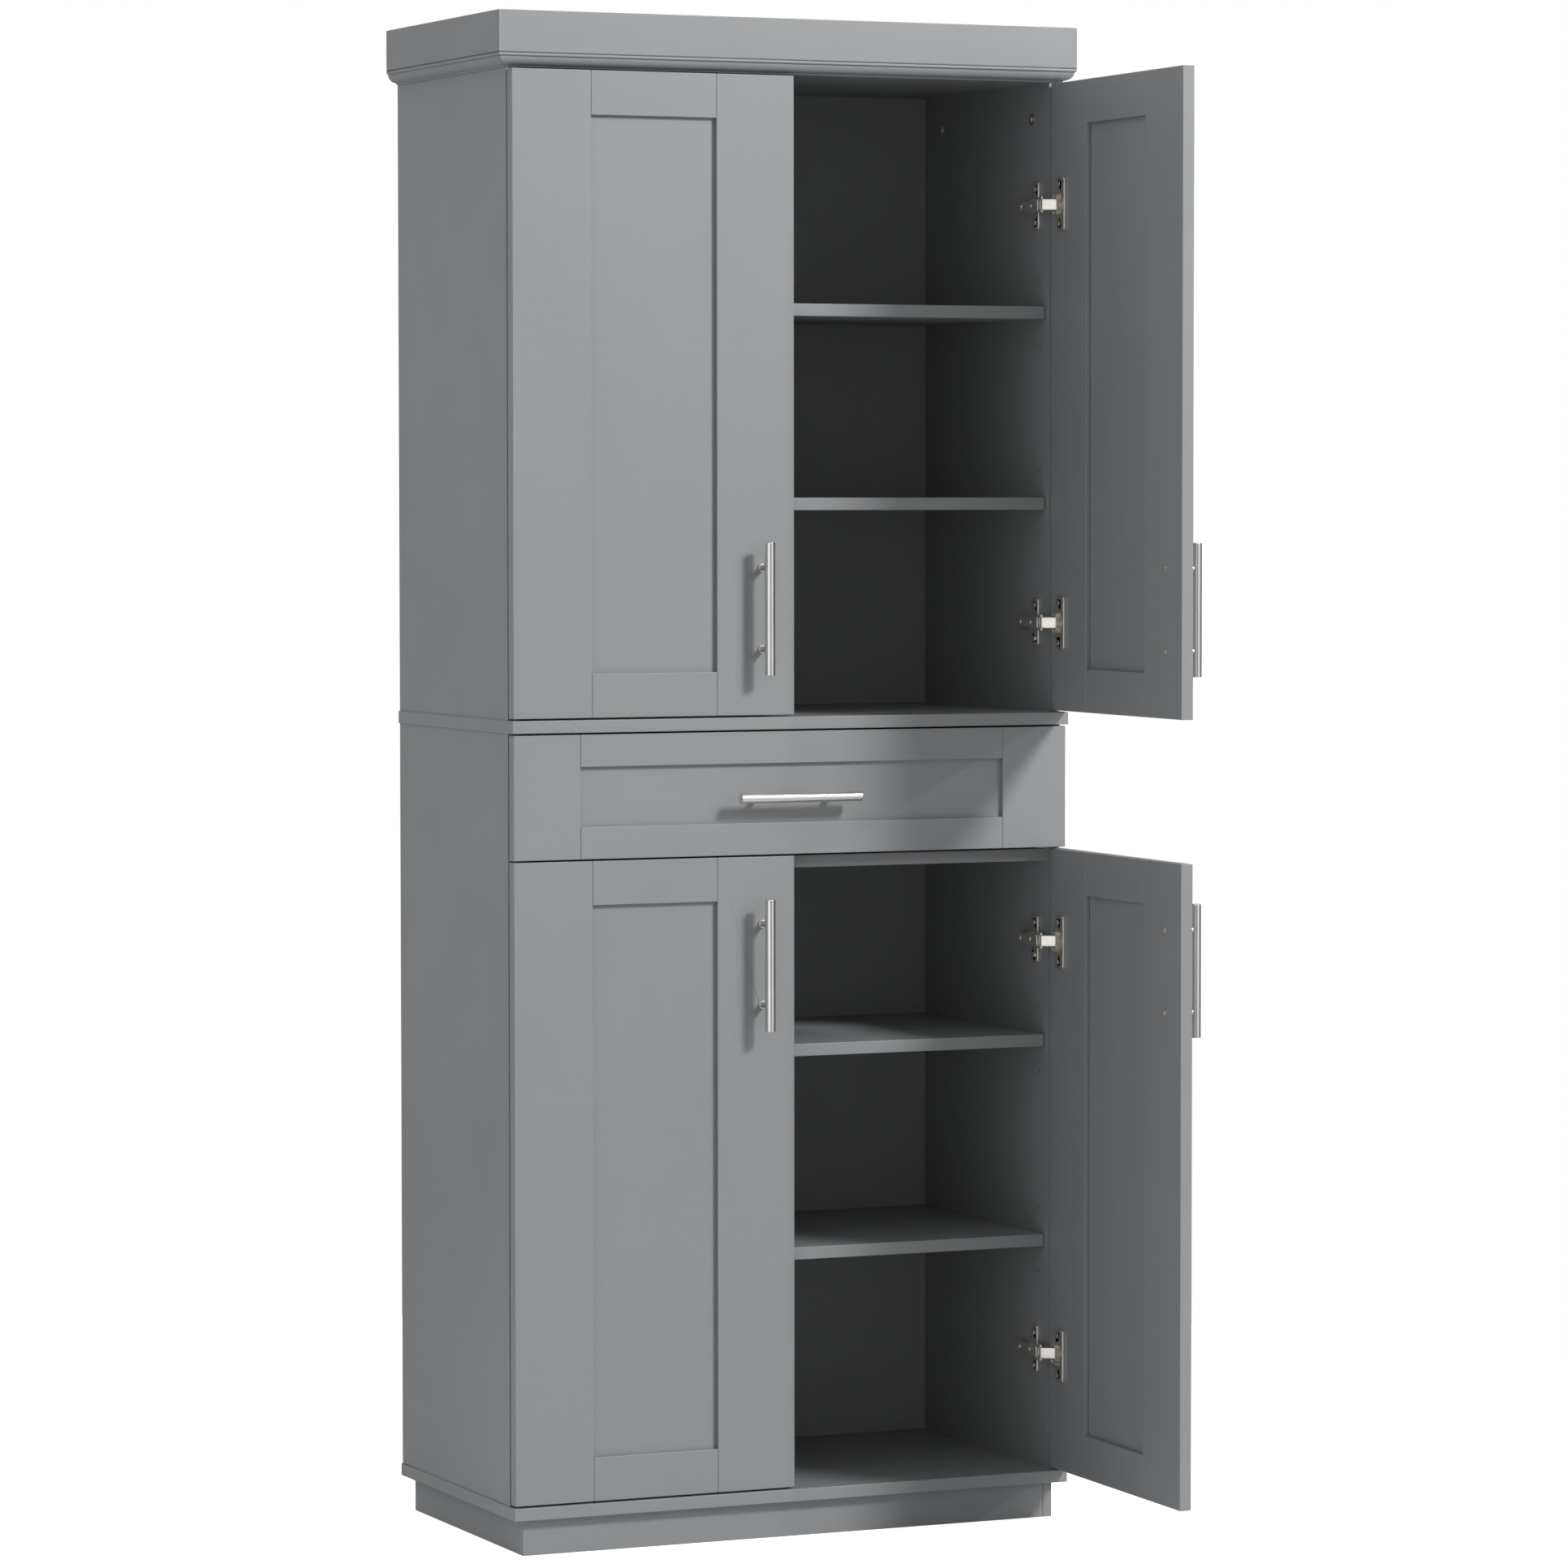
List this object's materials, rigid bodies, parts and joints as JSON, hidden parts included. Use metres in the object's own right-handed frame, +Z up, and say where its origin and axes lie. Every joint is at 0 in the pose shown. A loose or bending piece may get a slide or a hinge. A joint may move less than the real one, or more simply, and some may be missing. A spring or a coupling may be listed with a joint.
{
  "type": "pantry cabinet",
  "caption": "Tall painted shaker pantry cabinet with framed doors above and below a wide drawer, adjustable shelves, T-bar handles and concealed hinges.",
  "frame": {"origin": "on the floor, at the middle of the rear plinth board's underside, 14 mm in front of the plane of the cabinet's back", "axes": "+Z up, +X to the right seen from the front, +Y to the back, so the doors and drawer open towards -Y"},
  "size_m": [0.755, 0.7207, 1.8],
  "materials": {
    "painted_board": "satin grey paint on board",
    "hardboard": "thin painted hardboard",
    "handle_steel": "brushed",
    "hinge_nickel": "nickel plated, satin",
    "fitting_zinc": "zinc plated",
    "runner_enamel": "pale powder coat",
    "nylon": "plain nylon"
  },
  "bodies": {
    "cabinet": {"plinth_front": "painted_board", "plinth_back": "painted_board", "plinth_sides": "painted_board", "bottom_panel": "painted_board", "lower_side_left": "painted_board", "lower_side_right": "painted_board", "drawer_deck": "painted_board", "waist_panel": "painted_board", "upper_side_left": "painted_board", "upper_side_right": "painted_board", "top_panel": "painted_board", "crown_front": "painted_board", "crown_left": "painted_board", "crown_right": "painted_board", "upper_back": "hardboard", "lower_back": "hardboard", "upper_shelf_high": "painted_board", "upper_shelf_low": "painted_board", "lower_shelf_high": "painted_board", "lower_shelf_low": "painted_board", "shelf_pins": "fitting_zinc", "cam_locks": "fitting_zinc", "side_fasteners": "fitting_zinc", "hinge_plates": "hinge_nickel", "hinge_arms": "hinge_nickel", "cabinet_runners": "runner_enamel"},
    "drawer": {"drawer_stiles": "painted_board", "drawer_rails": "painted_board", "drawer_panel": "painted_board", "drawer_sides": "painted_board", "drawer_back": "painted_board", "drawer_bottom": "hardboard", "drawer_handle": "handle_steel", "drawer_runners": "runner_enamel"},
    "upper_left_door": {"upper_left_stiles": "painted_board", "upper_left_rails": "painted_board", "upper_left_panel": "painted_board", "upper_left_handle": "handle_steel", "upper_left_hinge_cups": "hinge_nickel"},
    "upper_left_links": {"upper_left_hinge_links": "hinge_nickel"},
    "upper_right_door": {"upper_right_stiles": "painted_board", "upper_right_rails": "painted_board", "upper_right_panel": "painted_board", "upper_right_handle": "handle_steel", "upper_right_hinge_cups": "hinge_nickel"},
    "upper_right_links": {"upper_right_hinge_links": "hinge_nickel"},
    "lower_left_door": {"lower_left_stiles": "painted_board", "lower_left_rails": "painted_board", "lower_left_panel": "painted_board", "lower_left_handle": "handle_steel", "lower_left_hinge_cups": "hinge_nickel"},
    "lower_left_links": {"lower_left_hinge_links": "hinge_nickel"},
    "lower_right_door": {"lower_right_stiles": "painted_board", "lower_right_rails": "painted_board", "lower_right_panel": "painted_board", "lower_right_handle": "handle_steel", "lower_right_hinge_cups": "hinge_nickel"},
    "lower_right_links": {"lower_right_hinge_links": "hinge_nickel"},
    "front_wheels": {"cabinet_wheels": "nylon"},
    "rear_wheels": {"drawer_wheels": "nylon"}
  },
  "joints": [
    {"name": "upper_left_door_hinge", "type": "hinge", "parent": "cabinet", "child": "upper_left_door", "pos_m": [-0.3518, -0.3558, 0.98], "axis": [0, 0, -1], "range_deg": [0, 100]},
    {"name": "upper_left_link_swing", "type": "hinge", "parent": "cabinet", "child": "upper_left_links", "pos_m": [-0.331, -0.3503, 1.0855], "axis": [0, 0, -1], "range_deg": [-25, 0]},
    {"name": "upper_right_door_hinge", "type": "hinge", "parent": "cabinet", "child": "upper_right_door", "pos_m": [0.3518, -0.3558, 0.98], "axis": [0, 0, 1], "range_deg": [-88.7, 11.3]},
    {"name": "upper_right_link_swing", "type": "hinge", "parent": "cabinet", "child": "upper_right_links", "pos_m": [0.331, -0.3503, 1.0855], "axis": [0, 0, 1], "range_deg": [-2.9, 22]},
    {"name": "lower_left_door_hinge", "type": "hinge", "parent": "cabinet", "child": "lower_left_door", "pos_m": [-0.3518, -0.3558, 0.06], "axis": [0, 0, -1], "range_deg": [0, 100]},
    {"name": "lower_left_link_swing", "type": "hinge", "parent": "cabinet", "child": "lower_left_links", "pos_m": [-0.331, -0.3503, 0.2], "axis": [0, 0, -1], "range_deg": [-25, 0]},
    {"name": "lower_right_door_hinge", "type": "hinge", "parent": "cabinet", "child": "lower_right_door", "pos_m": [0.3518, -0.3558, 0.06], "axis": [0, 0, 1], "range_deg": [-88.7, 11.3]},
    {"name": "lower_right_link_swing", "type": "hinge", "parent": "cabinet", "child": "lower_right_links", "pos_m": [0.331, -0.3503, 0.2], "axis": [0, 0, 1], "range_deg": [-2.9, 22]},
    {"name": "drawer_slide", "type": "slide", "parent": "cabinet", "child": "drawer", "axis": [0, -1, 0], "range_m": [0, 0.23]},
    {"name": "front_wheel_roll", "type": "hinge", "parent": "cabinet", "child": "front_wheels", "pos_m": [0, -0.331, 0.8225], "axis": [1, 0, 0], "range_deg": [-5, 1660]},
    {"name": "rear_wheel_roll", "type": "hinge", "parent": "drawer", "child": "rear_wheels", "pos_m": [0, -0.046, 0.8225], "axis": [1, 0, 0], "range_deg": [-5, 1660]}
  ],
  "couplings": [
    {"joint": "upper_left_link_swing", "follows": "upper_left_door_hinge", "ratio": -0.2456},
    {"joint": "upper_right_link_swing", "follows": "upper_right_door_hinge", "ratio": -0.2456},
    {"joint": "lower_left_link_swing", "follows": "lower_left_door_hinge", "ratio": -0.2456},
    {"joint": "lower_right_link_swing", "follows": "lower_right_door_hinge", "ratio": -0.2456},
    {"joint": "front_wheel_roll", "follows": "drawer_slide", "rad_per_m": 125},
    {"joint": "rear_wheel_roll", "follows": "drawer_slide", "rad_per_m": 125}
  ]
}
